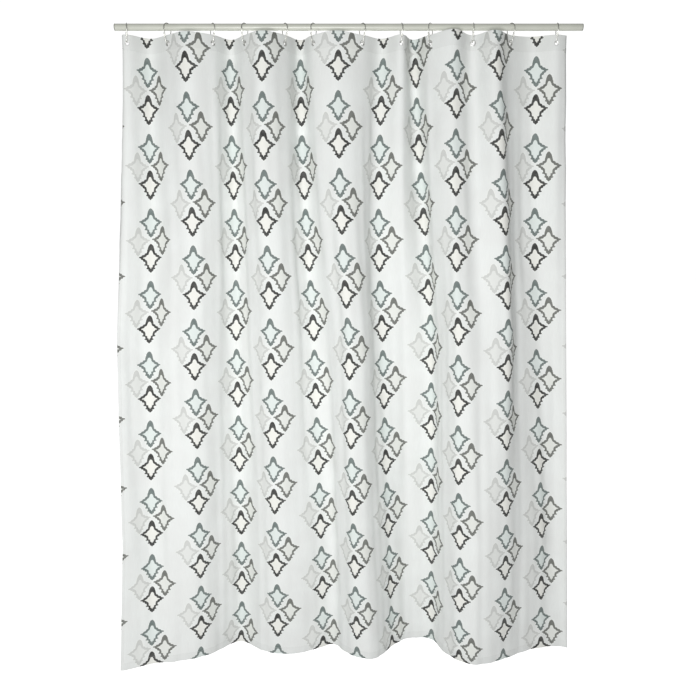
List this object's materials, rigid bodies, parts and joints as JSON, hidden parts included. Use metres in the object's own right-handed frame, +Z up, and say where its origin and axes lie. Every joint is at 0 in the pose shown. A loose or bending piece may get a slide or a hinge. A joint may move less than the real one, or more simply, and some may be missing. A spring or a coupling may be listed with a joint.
{
  "type": "shower curtain",
  "caption": "Printed fabric shower curtain with a turned top hem and metal eyelets, hung by pear-shaped wire rings on a round rod; it swings about the rod and draws along it.",
  "frame": {"origin": "centre of the left end face of the rod, seen from the viewer's side", "axes": "+X along the rod to the right, -Y to the viewer, the printed side of the cloth, +Z up"},
  "size_m": [1.5043, 0.2014, 2.0329],
  "materials": {
    "printed_cloth": "satin",
    "header_tape": "matte",
    "rod_paint": "satin",
    "cap_plastic": "satin",
    "ring_wire": "polished",
    "eyelet_metal": "satin"
  },
  "bodies": {
    "rod": {"rod_tube": "rod_paint", "left_end_cap": "cap_plastic", "right_end_cap": "cap_plastic"},
    "curtain": {"curtain_panel": "printed_cloth", "header_tape": "header_tape", "ring_01": "ring_wire", "eyelet_01": "eyelet_metal", "washer_01": "eyelet_metal"},
    "hanger_02": {"ring_02": "ring_wire", "eyelet_02": "eyelet_metal", "washer_02": "eyelet_metal"},
    "hanger_03": {"ring_03": "ring_wire", "eyelet_03": "eyelet_metal", "washer_03": "eyelet_metal"},
    "hanger_04": {"ring_04": "ring_wire", "eyelet_04": "eyelet_metal", "washer_04": "eyelet_metal"},
    "hanger_05": {"ring_05": "ring_wire", "eyelet_05": "eyelet_metal", "washer_05": "eyelet_metal"},
    "hanger_06": {"ring_06": "ring_wire", "eyelet_06": "eyelet_metal", "washer_06": "eyelet_metal"},
    "hanger_07": {"ring_07": "ring_wire", "eyelet_07": "eyelet_metal", "washer_07": "eyelet_metal"},
    "hanger_08": {"ring_08": "ring_wire", "eyelet_08": "eyelet_metal", "washer_08": "eyelet_metal"},
    "hanger_09": {"ring_09": "ring_wire", "eyelet_09": "eyelet_metal", "washer_09": "eyelet_metal"},
    "hanger_10": {"ring_10": "ring_wire", "eyelet_10": "eyelet_metal", "washer_10": "eyelet_metal"},
    "hanger_11": {"ring_11": "ring_wire", "eyelet_11": "eyelet_metal", "washer_11": "eyelet_metal"},
    "hanger_12": {"ring_12": "ring_wire", "eyelet_12": "eyelet_metal", "washer_12": "eyelet_metal"}
  },
  "joints": [
    {"name": "curtain_swing", "type": "hinge", "parent": "rod", "child": "curtain", "pos_m": [0.69, 0, 0], "axis": [1, 0, 0], "range_deg": [-20, 20]},
    {"name": "hanger_02_slide", "type": "slide", "parent": "curtain", "child": "hanger_02", "axis": [-1, 0, 0], "range_m": [0, 0.0771]},
    {"name": "hanger_03_slide", "type": "slide", "parent": "curtain", "child": "hanger_03", "axis": [-1, 0, 0], "range_m": [0, 0.1622]},
    {"name": "hanger_04_slide", "type": "slide", "parent": "curtain", "child": "hanger_04", "axis": [-1, 0, 0], "range_m": [0, 0.2232]},
    {"name": "hanger_05_slide", "type": "slide", "parent": "curtain", "child": "hanger_05", "axis": [-1, 0, 0], "range_m": [0, 0.2987]},
    {"name": "hanger_06_slide", "type": "slide", "parent": "curtain", "child": "hanger_06", "axis": [-1, 0, 0], "range_m": [0, 0.3533]},
    {"name": "hanger_07_slide", "type": "slide", "parent": "curtain", "child": "hanger_07", "axis": [-1, 0, 0], "range_m": [0, 0.4453]},
    {"name": "hanger_08_slide", "type": "slide", "parent": "curtain", "child": "hanger_08", "axis": [-1, 0, 0], "range_m": [0, 0.5191]},
    {"name": "hanger_09_slide", "type": "slide", "parent": "curtain", "child": "hanger_09", "axis": [-1, 0, 0], "range_m": [0, 0.5743]},
    {"name": "hanger_10_slide", "type": "slide", "parent": "curtain", "child": "hanger_10", "axis": [-1, 0, 0], "range_m": [0, 0.655]},
    {"name": "hanger_11_slide", "type": "slide", "parent": "curtain", "child": "hanger_11", "axis": [-1, 0, 0], "range_m": [0, 0.7261]},
    {"name": "curtain_draw", "type": "slide", "parent": "curtain", "child": "hanger_12", "axis": [-1, 0, 0], "range_m": [0, 0.813], "deforming": ["curtain_panel", "header_tape"]}
  ],
  "couplings": [
    {"joint": "hanger_02_slide", "follows": "curtain_draw", "ratio": 0.0946},
    {"joint": "hanger_03_slide", "follows": "curtain_draw", "ratio": 0.1993},
    {"joint": "hanger_04_slide", "follows": "curtain_draw", "ratio": 0.2743},
    {"joint": "hanger_05_slide", "follows": "curtain_draw", "ratio": 0.3672},
    {"joint": "hanger_06_slide", "follows": "curtain_draw", "ratio": 0.4343},
    {"joint": "hanger_07_slide", "follows": "curtain_draw", "ratio": 0.5475},
    {"joint": "hanger_08_slide", "follows": "curtain_draw", "ratio": 0.6382},
    {"joint": "hanger_09_slide", "follows": "curtain_draw", "ratio": 0.7061},
    {"joint": "hanger_10_slide", "follows": "curtain_draw", "ratio": 0.8054},
    {"joint": "hanger_11_slide", "follows": "curtain_draw", "ratio": 0.8929}
  ]
}
